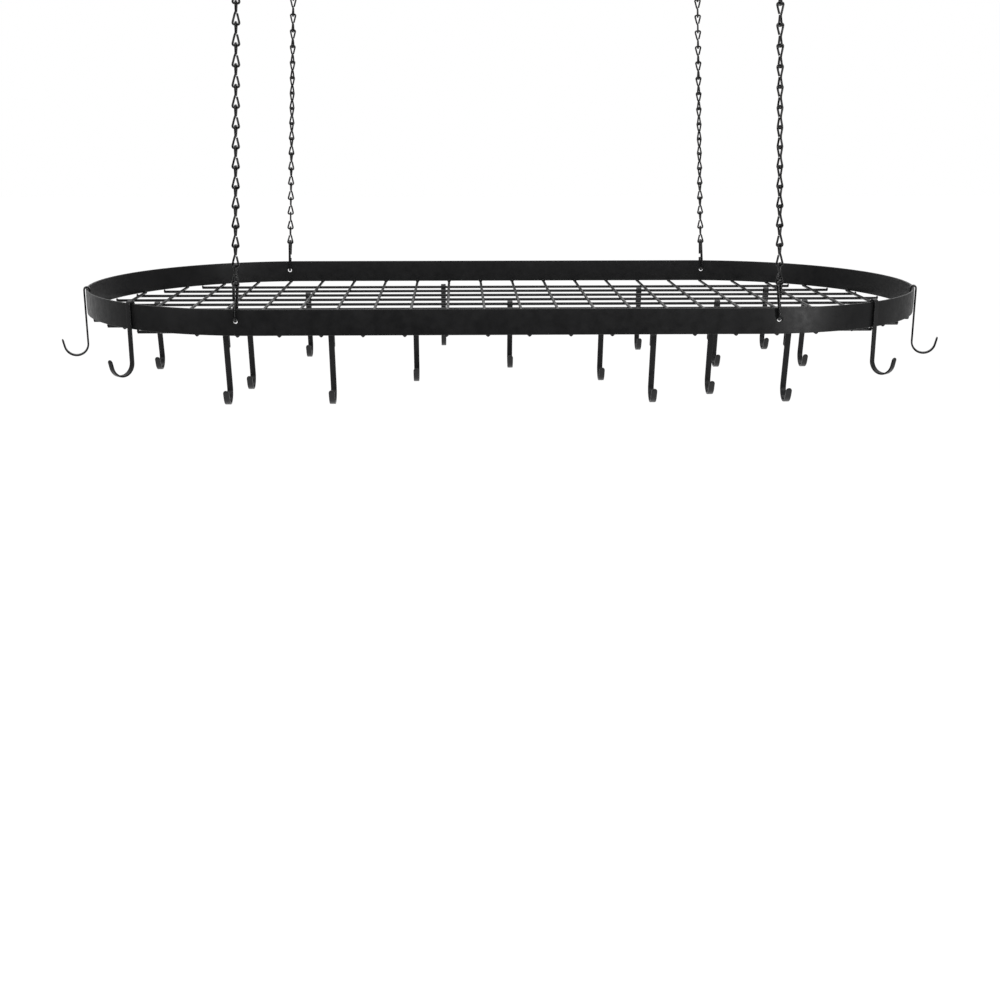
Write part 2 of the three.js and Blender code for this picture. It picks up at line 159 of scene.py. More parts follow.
# Distances up a leaning chain's line, from the wire in the band's hole.
link_span = LINK_HEIGHT - LINK_WIRE_DIAMETER
link_to_chain = (LINK_WIRE_DIAMETER + CHAIN_WIRE_DIAMETER) / 2 + CLEARANCE
chain_bottom = link_span - link_to_chain
chain_top = chain_bottom + CHAIN_LINKS * CHAIN_PITCH + CHAIN_SEAT
upper_link_bottom = chain_top - link_to_chain
hook_seat = upper_link_bottom + link_span - (HOOK_WIRE_DIAMETER + LINK_WIRE_DIAMETER) / 2 - CLEARANCE

# Heights; the ceiling is at 0.
seat_z = -HOOK_DROP - hook_seat * math.cos(math.radians(CHAIN_LEAN))
band_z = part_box("rim_band")[0].z / MM
cross_wire_z = band_z - CROSS_WIRE_DROP
long_wire_z = cross_wire_z - (CROSS_WIRE_DIAMETER + LONG_WIRE_DIAMETER) / 2 + WIRE_WELD


# ---------------------------------------------------------------- materials

CLOUD_SCALE = 38            # cycles in a metre: clouds of colour a few centimetres across
GLOSS_SCALE = 160           # uneven gloss, in patches of a few millimetres
GLOSS_RANGE = (-0.05, 0.07)     # what those patches add to the roughness
PEEL_SCALE = 1300           # orange peel, under a millimetre
PEEL_DEPTH = 0.00012        # metres


def powder_coat(name, dark, light, roughness, specular, grain):
    """Satin powder coat: cloudy near-black, uneven gloss and a fine orange peel at the grain's scale."""
    material = bpy.data.materials.new(name)
    material.use_nodes = True
    tree = material.node_tree
    nodes, links = tree.nodes, tree.links
    shader = nodes["Principled BSDF"]
    shader.inputs["Specular IOR Level"].default_value = specular
    place = nodes.new("ShaderNodeTexCoord")

    cloud = nodes.new("ShaderNodeTexNoise")
    cloud.inputs["Scale"].default_value = CLOUD_SCALE
    cloud.inputs["Detail"].default_value = 5
    links.new(place.outputs["Object"], cloud.inputs["Vector"])
    ramp = nodes.new("ShaderNodeValToRGB")
    ramp.color_ramp.elements[0].position = 0.3
    ramp.color_ramp.elements[0].color = (*dark, 1)
    ramp.color_ramp.elements[1].position = 0.72
    ramp.color_ramp.elements[1].color = (*light, 1)
    links.new(cloud.outputs["Fac"], ramp.inputs["Fac"])
    links.new(ramp.outputs["Color"], shader.inputs["Base Color"])

    gloss = nodes.new("ShaderNodeTexNoise")
    gloss.inputs["Scale"].default_value = GLOSS_SCALE
    gloss.inputs["Detail"].default_value = 3
    links.new(place.outputs["Object"], gloss.inputs["Vector"])
    spread = nodes.new("ShaderNodeMapRange")
    spread.inputs["From Min"].default_value = 0.3
    spread.inputs["From Max"].default_value = 0.7
    spread.inputs["To Min"].default_value = roughness + GLOSS_RANGE[0]
    spread.inputs["To Max"].default_value = roughness + GLOSS_RANGE[1]
    links.new(gloss.outputs["Fac"], spread.inputs["Value"])
    links.new(spread.outputs["Result"], shader.inputs["Roughness"])

    peel = nodes.new("ShaderNodeTexNoise")
    peel.inputs["Scale"].default_value = PEEL_SCALE
    peel.inputs["Detail"].default_value = 4
    peel.inputs["Roughness"].default_value = 0.6
    links.new(place.outputs["Object"], peel.inputs["Vector"])
    bump = nodes.new("ShaderNodeBump")
    bump.inputs["Strength"].default_value = grain
    bump.inputs["Distance"].default_value = PEEL_DEPTH
    links.new(peel.outputs["Fac"], bump.inputs["Height"])
    links.new(bump.outputs["Normal"], shader.inputs["Normal"])
    return material


# Each coat's darkest and lightest colour, roughness, specular level and strength of its orange peel.
band_black = powder_coat("band_black", (0.0034, 0.0034, 0.0037), (0.0062, 0.0062, 0.0066), 0.42, 0.22, 0.35)
wire_black = powder_coat("wire_black", (0.0034, 0.0034, 0.0037), (0.0065, 0.0065, 0.0069), 0.36, 0.22, 0.30)
strip_black = powder_coat("strip_black", (0.005, 0.005, 0.0055), (0.009, 0.009, 0.0095), 0.34, 0.25, 0.30)
chain_black = powder_coat("chain_black", (0.0024, 0.0024, 0.0026), (0.005, 0.005, 0.0053), 0.26, 0.32, 0.25)


# ---------------------------------------------------------------- mesh building

class Builder:
    """Collects vertices and faces of one piece, in millimetres."""

    def __init__(self):
        self.points = []
        self.faces = []
        self.count = 0

    def add(self, points, faces):
        start = self.count
        self.points.append(np.asarray(points, float))
        self.faces.extend([tuple(start + i for i in face) for face in faces])
        self.count += len(points)

    def make(self, name, material, body, node, slot, place=np.eye(4), weighted=False):
        """Makes the piece that stands for a node; it can be called again with another place."""
        points = placed(np.vstack(self.points), place)
        mesh = bpy.data.meshes.new(name)
        mesh.from_pydata((points * MM).tolist(), [], self.faces)
        cleaner = bmesh.new()
        cleaner.from_mesh(mesh)
        loose = [v for v in cleaner.verts if not v.link_faces]
        bmesh.ops.delete(cleaner, geom=loose, context="VERTS")
        bmesh.ops.recalc_face_normals(cleaner, faces=cleaner.faces)
        cleaner.to_mesh(mesh)
        cleaner.free()
        mesh.shade_smooth()
        mesh.materials.append(material)
        piece = bpy.data.objects.new(name, mesh)
        bpy.context.scene.collection.objects.link(piece)
        if weighted:
            weigh = piece.modifiers.new("weighted", "WEIGHTED_NORMAL")
            weigh.weight = 80
            weigh.keep_sharp = True
        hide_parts(node)
        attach(piece, body)
        return piece


def unit(v):
    return v / np.linalg.norm(v)


def lengths_along(path):
    """The length of the path up to each of its points."""
    return np.concatenate([[0], np.cumsum(np.linalg.norm(np.diff(path, axis=0), axis=1))])


def tangents(path):
    steps = np.diff(path, axis=0)
    steps = steps / np.linalg.norm(steps, axis=1)[:, None]
    along = np.vstack([steps[:1], steps[:-1] + steps[1:], steps[-1:]])
    return along / np.linalg.norm(along, axis=1)[:, None]


def arc(centre_y, centre_z, radius, start, end, steps):
    """Points of an arc in the YZ plane, both ends included; angles in degrees from +Y towards +Z."""
    angles = np.radians(np.linspace(start, end, steps + 1))
    return [np.array([0, centre_y + radius * math.cos(a), centre_z + radius * math.sin(a)]) for a in angles]


def moved(x, y, z):
    """A 4x4 place at a point, not turned."""
    place = np.eye(4)
    place[:3, 3] = (x, y, z)
    return place


def spun(place, degrees, axis):
    """A 4x4 place turned about one of its own axes."""
    return place @ np.array(Matrix.Rotation(math.radians(degrees), 4, axis))


def placed(points, place):
    """Points given at the origin, taken to a 4x4 place."""
    return points @ place[:3, :3].T + place[:3, 3]


def rings_to_faces(rings, sides, closed_ends=True):
    faces = []
    for s in range(rings - 1):
        for k in range(sides):
            a, b = s * sides + k, s * sides + (k + 1) % sides
            faces.append((a, b, b + sides, a + sides))
    if closed_ends:
        last = (rings - 1) * sides
        faces.append(tuple(reversed(range(sides))))
        faces.append(tuple(range(last, last + sides)))
    return faces


def with_cut_ends(path, rounding):
    """The path with stations added at its two ends, and how much thinner the wire is at each station."""
    head, tail = unit(path[1] - path[0]), unit(path[-2] - path[-1])
    shares = (0, 0.3, 1)
    shrink = [1.0, 0.3, 0.0]
    starts = [path[0] + head * rounding * share for share in shares]
    ends = [path[-1] + tail * rounding * share for share in reversed(shares)]
    near = 1.1 * rounding
    clear = [p for p in path[1:-1] if min(np.linalg.norm(p - path[0]), np.linalg.norm(p - path[-1])) > near]
    stations = np.vstack([starts, *clear, ends])
    less = np.array(shrink + [0.0] * len(clear) + shrink[::-1]) * rounding
    return stations, less


def wire(builder, path, radius, sides=16, rounding=0.35):
    """A round wire along a path, its ends cut square with rounded edges."""
    stations, less = with_cut_ends(np.asarray(path, float), rounding)
    along = tangents(stations)
    slanted = [0.31, 0.52, 0.79]    # no wire starts in this direction
    side = np.cross(along[0], slanted)
    points = []
    for at, direction, thinner in zip(stations, along, less):
        side = unit(side - direction * side.dot(direction))
        across = np.cross(direction, side)
        for k in range(sides):
            angle = TAU * k / sides
            points.append(at + (radius - thinner) * (side * math.cos(angle) + across * math.sin(angle)))
    builder.add(points, rings_to_faces(len(stations), sides))


def rounded(points, radius, steps):
    """A path of straight stretches whose corners are rounded to a radius."""
    points = np.asarray(points, float)
    out = [points[0]]
    for before, corner, after in zip(points, points[1:], points[2:]):
        back, on = unit(before - corner), unit(after - corner)
        half_angle = math.acos(np.clip(back.dot(on), -1, 1)) / 2
        centre = corner + unit(back + on) * radius / math.sin(half_angle)
        start = corner + back * radius / math.tan(half_angle) - centre
        end = corner + on * radius / math.tan(half_angle) - centre
        sweep = math.pi - 2 * half_angle
        for t in np.linspace(0, 1, steps + 1):
            weights = math.sin((1 - t) * sweep) / math.sin(sweep), math.sin(t * sweep) / math.sin(sweep)
            out.append(centre + start * weights[0] + end * weights[1])
    out.append(points[-1])
    return np.array(out)


def lathe(builder, profile, sides=40):
    """A solid of revolution about Z; the profile runs from the axis to the axis as (radius, z)."""
    points = [np.array([0, 0, profile[0][1]])]
    for radius, z in profile[1:-1]:
        for k in range(sides):
            angle = TAU * k / sides
            points.append(np.array([radius * math.cos(angle), radius * math.sin(angle), z]))
    points.append(np.array([0, 0, profile[-1][1]]))
    faces = []
    rows = len(profile) - 2
    for k in range(sides):
        after = (k + 1) % sides
        faces.append((0, 1 + after, 1 + k))
        for r in range(rows - 1):
            a, b = 1 + r * sides + k, 1 + r * sides + after
            faces.append((a, b, b + sides, a + sides))
        base = 1 + (rows - 1) * sides
        faces.append((base + k, base + after, len(points) - 1))
    builder.add(points, faces)


def bead(builder, centre, half_axes, rows=6, columns=12):
    """A weld bead: an ellipsoid whose axes lie along X, Y and Z."""
    sphere = [(0, 0, 1)]
    for r in range(1, rows):
        height = math.pi * r / rows
        for c in range(columns):
            turn = TAU * c / columns
            out = math.sin(height)
            sphere.append((out * math.cos(turn), out * math.sin(turn), math.cos(height)))
    sphere.append((0, 0, -1))
    faces = []
    for c in range(columns):
        after = (c + 1) % columns
        faces.append((0, 1 + c, 1 + after))
        for r in range(rows - 2):
            a, b = 1 + r * columns + c, 1 + r * columns + after
            faces.append((a, a + columns, b + columns, b))
        base = 1 + (rows - 2) * columns
        faces.append((base + c, len(sphere) - 1, base + after))
    builder.add(np.array(centre) + np.array(sphere) * half_axes, faces)


# ---------------------------------------------------------------- oval band

def oval(side, angle):
    """A point of the band's outer face and its outward normal, on the half ellipse at one end along X."""
    point = np.array([side * (straight_half + end_depth * math.cos(angle)), width_half * math.sin(angle)])
    normal = unit(np.array([side * math.cos(angle) / end_depth, math.sin(angle) / width_half]))
    return point, normal


def rim_outline():
    """Points and outward normals of the band's outer face, anticlockwise seen from above, closed."""
    places = []
    for side in (1, -1):
        for i in range(END_STEPS + 1):
            places.append(oval(side, math.radians(side * (-90 + 180 * i / END_STEPS))))
    places.append(places[0])
    return np.array([point for point, _ in places]), np.array([normal for _, normal in places])


outline, outline_normals = rim_outline()
outline_length = lengths_along(outline)
rim_around = outline_length[-1]


def on_band(s, depth, z):
    """The point at arc length s round the outer face, depth below that face, z above the lower edge."""
    s = s % rim_around
    x = np.interp(s, outline_length, outline[:, 0])
    y = np.interp(s, outline_length, outline[:, 1])
    normal = unit(np.array([
        np.interp(s, outline_length, outline_normals[:, 0]),
        np.interp(s, outline_length, outline_normals[:, 1]),
    ]))
    crown = BAND_CROWN * (2 * z / BAND_HEIGHT - 1) ** 2
    depth = depth + crown * (1 - 2 * depth / BAND_THICKNESS)
    return np.array([x - normal[0] * depth, y - normal[1] * depth, band_z + z])


def hole_places():
    """Arc lengths of the four hanging holes, in order round the band."""
    half = END_STEPS / 2
    steps = math.degrees(hole_angle) / 90 * half
    right, left = half, 3 * half + 1    # the outline's points at the two far ends of the oval
    at = [right - steps, right + steps, left - steps, left + steps]
    return np.interp(at, np.arange(len(outline)), outline_length).tolist()


def band_section():
    """(depth, z) pairs round the strip's section, and the rows of its outer and inner faces that a hole
    patch takes."""
    low, high = HOLE_HEIGHT - HOLE_PATCH, HOLE_HEIGHT + HOLE_PATCH
    face_low, face_high = BAND_EDGE, BAND_HEIGHT - BAND_EDGE
    below = [face_low, face_low + EDGE_STEP, *np.linspace(face_low + EDGE_STEP, low, 4)[1:-1]]
    above = [*np.linspace(high, face_high - EDGE_STEP, 4)[1:-1], face_high - EDGE_STEP, face_high]
    face = [*below, *np.linspace(low, high, PATCH_STEPS + 1), *above]
    corner = [math.radians(a) for a in (22.5, 45, 67.5)]
    outer = [(0, z) for z in face]
    top_out = [(BAND_EDGE * (1 - math.cos(a)), BAND_HEIGHT - BAND_EDGE * (1 - math.sin(a))) for a in corner]
    top = [(BAND_EDGE, BAND_HEIGHT), (BAND_THICKNESS - BAND_EDGE, BAND_HEIGHT)]
    top_in = [(BAND_THICKNESS - d, z) for d, z in reversed(top_out)]
    inner = [(BAND_THICKNESS, z) for z in reversed(face)]
    under = [(d, BAND_HEIGHT - z) for d, z in reversed(top_out + top + top_in)]
    section = outer + top_out + top + top_in + inner + under
    inner_start = len(outer + top_out + top + top_in)
    return section, len(below), inner_start + len(above)


def band_lines(holes):
    """Arc lengths of the mesh's lines across the band, and the first line of each hole's patch."""
    lines, patches = [], []
    for here, after in zip(holes, holes[1:] + [holes[0] + rim_around]):
        patches.append(len(lines))
        lines.extend(np.linspace(here - HOLE_PATCH, here + HOLE_PATCH, PATCH_STEPS + 1))
        gap = after - here - 2 * HOLE_PATCH
        count = int(round(gap / BAND_STEP))
        lines.extend(here + HOLE_PATCH + gap * np.arange(1, count) / count)
    return lines, patches


def band_faces(around, through, patches, rows):
    """Faces between the lines, all but the squares that the holes' patches take."""
    cut = set()
    for first in patches:
        for i in range(PATCH_STEPS):
            for row in rows:
                cut.update((first + i, row + k) for k in range(PATCH_STEPS))
    faces = []
    for i in range(around):
        for k in range(through):
            if (i, k) not in cut:
                j, m = (i + 1) % around, (k + 1) % through
                faces.append((i * through + k, j * through + k, j * through + m, i * through + m))
    return faces


def add_hole(points, faces, hole, flat, front, back):
    """Fills a patch round its hole and lines the hole; flat, front and back go round the patch's square:
    its places from the hole's centre, and the points on the band's outer and inner faces."""
    radius = HOLE_DIAMETER / 2
    turns = [math.atan2(z, s) for s, z in flat]

    def ring(wider, depth, squareness=0.0):
        start = len(points)
        for (s, z), turn in zip(flat, turns):
            reach = (1 - squareness) * (radius + wider)
            s_at = squareness * s + reach * math.cos(turn)
            z_at = squareness * z + reach * math.sin(turn)
            points.append(on_band(hole + s_at, depth, HOLE_HEIGHT + z_at))
        return list(range(start, len(points)))

    edge = [(HOLE_CHAMFER * wider, HOLE_CHAMFER * depth) for wider, depth in ((1, 0), (0.3, 0.3), (0, 1))]
    rings = [front, ring(HOLE_CHAMFER, 0, PATCH_SQUARENESS)]
    rings += [ring(wider, depth) for wider, depth in edge]
    rings += [ring(wider, BAND_THICKNESS - depth) for wider, depth in reversed(edge)]
    rings += [ring(HOLE_CHAMFER, BAND_THICKNESS, PATCH_SQUARENESS), back]
    for a, b in zip(rings, rings[1:]):
        for k in range(len(a)):
            m = (k + 1) % len(a)
            faces.append((a[k], a[m], b[m], b[k]))


def build_band():
    section, outer_row, inner_row = band_section()
    holes = hole_places()
    lines, patches = band_lines(holes)
    through = len(section)
    points = [on_band(s, depth, z) for s in lines for depth, z in section]
    faces = band_faces(len(lines), through, patches, (outer_row, inner_row))
    n = PATCH_STEPS
    square = [(i, 0) for i in range(n)] + [(n, k) for k in range(n)]
    square += [(n - i, n) for i in range(n)] + [(0, n - k) for k in range(n)]
    for hole, first in zip(holes, patches):
        flat = [(lines[first + i] - hole, section[outer_row + k][1] - HOLE_HEIGHT) for i, k in square]
        front = [(first + i) * through + outer_row + k for i, k in square]
        back = [(first + i) * through + inner_row + n - k for i, k in square]
        add_hole(points, faces, hole, flat, front, back)
    builder = Builder()
    builder.add(points, faces)
    builder.make("band", band_black, "rack", "rim_band", "powder_coated_band", weighted=True)


# ---------------------------------------------------------------- wire grid

# The band's inner face from its far end along X to the start of its straight side.
inner_face = (outline - BAND_THICKNESS * outline_normals)[END_STEPS // 2:END_STEPS + 1]


def inner_reach_x(y):
    """How far along X the band's inner face is at a given y."""
    return float(np.interp(abs(y), inner_face[:, 1], inner_face[:, 0]))


def inner_reach_y(x):
    """How far along Y the band's inner face is at a given x."""
    return float(np.interp(abs(x), inner_face[::-1, 0], inner_face[::-1, 1]))


def wire_places(half_width):
    """Half a pitch to each side of the middle, and on from there to the margin."""
    places = []
    place = GRID_PITCH / 2
    while place < half_width - WIRE_MARGIN:
        places += [-place, place]
        place += GRID_PITCH
    return sorted(places)


def build_grid():
    builder = Builder()
    long_radius, cross_radius = LONG_WIRE_DIAMETER / 2, CROSS_WIRE_DIAMETER / 2
    crossing_z = (cross_wire_z - cross_radius + long_wire_z + long_radius) / 2
    rows = wire_places(width_half - BAND_THICKNESS)
    columns = wire_places(RIM_LENGTH / 2 - BAND_THICKNESS)
    for y in rows:
        reach = inner_reach_x(y)
        path = [(-reach, y, long_wire_z), (reach, y, long_wire_z)]
        wire(builder, path, long_radius, rounding=WIRE_END_ROUNDING)
        for side in (-1, 1):
            bead(builder, (side * (reach - BEAD_INSET), y, long_wire_z + LONG_BEAD_RISE), LONG_WIRE_BEAD)
    for x in columns:
        reach = inner_reach_y(x)
        path = [(x, -reach, cross_wire_z), (x, reach, cross_wire_z)]
        wire(builder, path, cross_radius, rounding=WIRE_END_ROUNDING)
        for side in (-1, 1):
            bead(builder, (x, side * (reach - BEAD_INSET), cross_wire_z + CROSS_BEAD_RISE), CROSS_WIRE_BEAD)
        for y in rows:
            if abs(y) < reach - CROSSING_MARGIN:
                bead(builder, (x, y, crossing_z), CROSSING_BEAD, rows=4)
    builder.make("grid_wires", wire_black, "rack", "wire_grid", "powder_coated_wire")


# ---------------------------------------------------------------- links and chains

def open_link(twist):
    """A connector link; its lower bend is in the YZ plane, and its upper bend is twisted about Z."""
    half = (LINK_WIDTH - LINK_WIRE_DIAMETER) / 2
    gap_middle = link_span / 2 - LINK_GAP_DROP
    path = np.array([
        (0, half, gap_middle + LINK_GAP / 2),
        (0, half, (gap_middle + link_span - half) / 2),
        *arc(0, link_span - half, half, 0, 180, 16),
        (0, -half, link_span / 2),
        *arc(0, half, half, 180, 360, 16),
        (0, half, (half + gap_middle) / 2),
        (0, half, gap_middle - LINK_GAP / 2),
    ])
    rise = np.clip((path[:, 2] - half) / (link_span - 2 * half), 0, 1)
    turns = np.radians(-twist) * rise
    path = np.column_stack([-path[:, 1] * np.sin(turns), path[:, 1] * np.cos(turns), path[:, 2]])
    builder = Builder()
    wire(builder, path, LINK_WIRE_DIAMETER / 2 + LINK_COAT, sides=18, rounding=0.3)
    return builder


def chain_link_path():
    """One link about its middle: the upper loop in the YZ plane and the lower loop in the XZ plane."""
    top = (CHAIN_PITCH + CHAIN_WIRE_DIAMETER) / 2
    loop = [LOOP_END, (-LOOP_CORNER, top), (LOOP_CORNER, top), LOOP_CROSSING]
    upper = [(0, offset, height) for offset, height in loop]
    lower = [(offset, 0, -height) for offset, height in reversed(loop)]
    return rounded(upper + lower, LOOP_BEND, 6)


def jack_chain(low_turn, high_turn):
    """A chain up the Z axis, whose links turn evenly from the lowest to the highest."""
    builder = Builder()
    path = chain_link_path()
    lowest = chain_bottom + (CHAIN_PITCH + CHAIN_SEAT) / 2
    for i in range(CHAIN_LINKS):
        turn = low_turn + (high_turn - low_turn) * i / (CHAIN_LINKS - 1)
        place = spun(moved(0, 0, lowest + i * CHAIN_PITCH), turn, "Z")
        wire(builder, placed(path, place), CHAIN_WIRE_DIAMETER / 2, sides=12, rounding=0.25)
    return builder


# ---------------------------------------------------------------- ceiling hooks

def flange_profile():
    """(radius, z) down the flange and its neck, from the middle of the upper face to the neck's end."""
    edge, neck, end = FLANGE_DIAMETER / 2, NECK_DIAMETER / 2, -NECK_DEPTH
    return [
        (0, 0),
        (edge - 0.5, 0), (edge - 0.15, -0.12), (edge - 0.02, -0.45), (edge - 0.1, -0.8), (edge - 0.5, -1.1),
        (edge - 2, -FLANGE_EDGE), (edge - 4.5, -1.9), (neck + 1.6, -2.3), (neck + 0.5, -2.9), (neck, -3.8),
        (neck, end + 0.5), (neck - 0.12, end + 0.15), (neck - 0.45, end),
        (0, end),
    ]


def thread(builder, sides=28, step=0.16):
    """The screw above the flange: a tapering core with one helical ridge, and a point."""
    point_start = SCREW_LENGTH - SCREW_POINT
    ridge_end = SCREW_LENGTH - THREAD_STOP
    levels = np.arange(-SCREW_ROOT, SCREW_LENGTH - SCREW_TIP, step)
    points = []
    for z in levels:
        outside = SCREW_DIAMETER / 2 * (1 - SCREW_TAPER * max(z, 0) / point_start)
        if z > point_start:
            outside = SCREW_DIAMETER / 2 * (1 - SCREW_TAPER) * (SCREW_LENGTH - z) / SCREW_POINT
        rising = min(max((z - THREAD_RUNOUT) / THREAD_RUNOUT, 0), 1)
        falling = min(max((ridge_end - z) / THREAD_RUNOUT, 0), 1)
        depth = min(THREAD_DEPTH, THREAD_CUT * outside)
        for k in range(sides):
            phase = (z / THREAD_PITCH - k / sides) % 1
            ridge = max(0.0, 1 - abs(phase - 0.5) / THREAD_WIDTH)
            radius = outside - depth * (1 - ridge * rising * falling)
            angle = TAU * k / sides
            points.append(np.array([radius * math.cos(angle), radius * math.sin(angle), z]))
    top = len(points)
    points.append(np.array([0, 0, SCREW_LENGTH]))
    faces = rings_to_faces(len(levels), sides, closed_ends=False)
    faces.append(tuple(reversed(range(sides))))
    last = (len(levels) - 1) * sides
    faces += [(last + k, last + (k + 1) % sides, top) for k in range(sides)]
    builder.add(points, faces)


def curl_path():
    """The hook's wire in the YZ plane: straight out of the neck, through the knee and round the curl."""
    centre = HOOK_CURL_RADIUS - HOOK_DROP
    corner = -NECK_DEPTH - NECK_LEAD
    bend = math.asin(HOOK_CURL_RADIUS / (corner - centre))
    knee_top = corner + HOOK_KNEE * math.tan(bend / 2)
    knee = [
        (0, HOOK_KNEE * (1 - math.cos(a)), knee_top - HOOK_KNEE * math.sin(a))
        for a in np.linspace(0, bend, 7)
    ]
    curl = arc(0, centre, HOOK_CURL_RADIUS, math.degrees(bend), HOOK_TIP, 44)
    return [(0, 0, NECK_OVERLAP - NECK_DEPTH), *knee, *curl]


def ceiling_hook():
    builder = Builder()
    lathe(builder, flange_profile())
    thread(builder)
    wire(builder, curl_path(), HOOK_WIRE_DIAMETER / 2, sides=20, rounding=1.2)
    return builder


# ---------------------------------------------------------------- hangers

# The corners: their name, their sides along X and Y, the turn and the twist of the link in the hole, and
# the turns of the chain's lowest and highest links.
CORNERS = [
    ("front_left", -1, -1, 187, 8, 168, 180),
    ("front_right", 1, -1, 9, 23, -31, -90),
    ("back_left", -1, 1, -3, 8, 0, 90),
    ("back_right", 1, 1, -10, 8, 0, 90),
]


def build_hangers():
    upper_link = open_link(UPPER_LINK_TWIST)
    hook = ceiling_hook()
    for corner, x_side, y_side, link_turn, twist, low_turn, high_turn in CORNERS:
        face, normal = oval(x_side, y_side * hole_angle)
        x, y = face - normal * BAND_THICKNESS / 2
        hanger = spun(moved(x, y, seat_z), -x_side * CHAIN_LEAN, "Y")
        lower_place = spun(hanger, -link_turn, "Z")
        upper_turn = high_turn - 90 + UPPER_LINK_TWIST / 2
        upper_place = spun(hanger @ moved(0, 0, upper_link_bottom), upper_turn, "Z")
        hook_x = x - x_side * hook_seat * math.sin(math.radians(CHAIN_LEAN))
        hook_place = spun(moved(hook_x, y, 0), high_turn, "Z")
        for shape, piece, node, body, place in (
            (open_link(twist), "rim_connector", "rim_link", f"rim_link_{corner}", lower_place),
            (jack_chain(low_turn, high_turn), "jack_chain", "chain", f"chain_{corner}", hanger),
            (upper_link, "ceiling_connector", "ceiling_link", f"ceiling_link_{corner}", upper_place),
            (hook, "screw_hook", "ceiling_hook", "ceiling_hooks", hook_place),
        ):
            shape.make(f"{piece}_{corner}", chain_black, body, f"{node}_{corner}", "black_chain", place)


# ---------------------------------------------------------------- strip hooks

def strip_path():
    """The middle of the strip in the YZ plane, from the short leg's end to the tip of the J."""
    u_radius = (U_OPENING + STRIP_THICKNESS) / 2
    j_bottom = u_radius + STRIP_THICKNESS - STRIP_HEIGHT
    centre_y, centre_z = -u_radius - J_RADIUS, j_bottom + J_RADIUS
    leg_margin, shank_margin = 1.5, 2    # the stations of a straight stretch stop this far from its bend
    leg = [np.array([0, u_radius, z]) for z in np.linspace(-RETURN_LEG, -leg_margin, 6)]
    crown = arc(0, 0, u_radius, 0, 180, 14)
    shank_heights = np.linspace(-shank_margin, centre_z + shank_margin, 8)
    shank = [np.array([0, -u_radius, z]) for z in shank_heights]
    bow = arc(centre_y, centre_z, J_RADIUS, 0, J_FLARE - 180, 30)
    last = bow[-1]
    rise = j_bottom + J_TIP_RISE - last[2]
    flare = np.array([0, -rise * math.tan(math.radians(J_FLARE)), rise])
    return np.array([*leg, *crown, *shank, *bow, *(last + flare * share for share in (0.3, 0.6, 1))])


def balance_angle(path):
    """How far back a free hook leans, so that its weight is under the wire it hangs on."""
    steps = np.diff(lengths_along(path))
    middle = np.average((path[1:] + path[:-1]) / 2, axis=0, weights=steps)
    return math.degrees(math.atan2(-middle[1], -middle[2]))


def with_round_ends(path):
    """The path with its two ends' last half width in small steps, and the strip's width share there."""
    radius = STRIP_WIDTH / 2
    lengths = lengths_along(path)
    total = lengths[-1]
    ends = radius * (1 - np.cos(np.radians([12, 25, 38, 52, 66, 78, 90])))
    margin = 1.15 * radius
    inner = [s for s in lengths if margin < s < total - margin]
    places = np.array(sorted([*ends, *inner, *(total - ends)]))
    stations = np.column_stack([np.interp(places, lengths, path[:, k]) for k in range(3)])
    from_end = np.minimum(places, total - places)
    share = np.sqrt(np.clip(1 - (1 - np.clip(from_end / radius, 0, 1)) ** 2, 0, 1))
    return stations, share


def strip_section():
    """(across, side) pairs round the strip's rounded section, widest along side."""
    across, side = STRIP_THICKNESS / 2 - STRIP_EDGE, STRIP_WIDTH / 2 - STRIP_EDGE
    pairs = []
    for corner, (u, v) in enumerate([(1, 1), (-1, 1), (-1, -1), (1, -1)]):
        for step in (0, 22.5, 45, 67.5, 90):
            angle = math.radians(90 * corner + step)
            out = STRIP_EDGE * math.cos(angle), STRIP_EDGE * math.sin(angle)
            pairs.append((u * across + out[0], v * side + out[1]))
    return pairs


def strip_hook():
    stations, share = with_round_ends(strip_path())
    along = tangents(stations)
    section = strip_section()
    width = np.array([1, 0, 0])
    points = []
    for at, direction, narrow in zip(stations, along, share):
        across = np.cross(width, direction) * (STRIP_TIP + (1 - STRIP_TIP) * narrow)
        for u, v in section:
            points.append(at + across * u + width * v * narrow)
    builder = Builder()
    builder.add(points, rings_to_faces(len(stations), len(section)))
    return builder


# Hooks on the band: the end along X, and the angle on its half ellipse.
RIM_HOOKS = [(-1, -15), (-1, -52), (1, -54), (1, -17)]

# Hooks on the grid: the long wire, counted in half pitches from the middle, the bay between two cross
# wires, counted from the middle bay, and the place along X from that bay's middle.
GRID_HOOKS = [
    (1, -10, 13), (-9, -7, 2), (-5, -7, 13), (5, -6, 13.5),
    (-9, -4, -13.5), (-3, -2, -13.5), (9, -2, 12.5), (1, 0, 9.5),
    (-3, 3, -13.5), (7, 4, 11), (-9, 4, -13.5), (-7, 5, 10),
    (1, 6, 5.5), (7, 8, 7), (-9, 7, 0.5), (1, 9, -13.5),
]


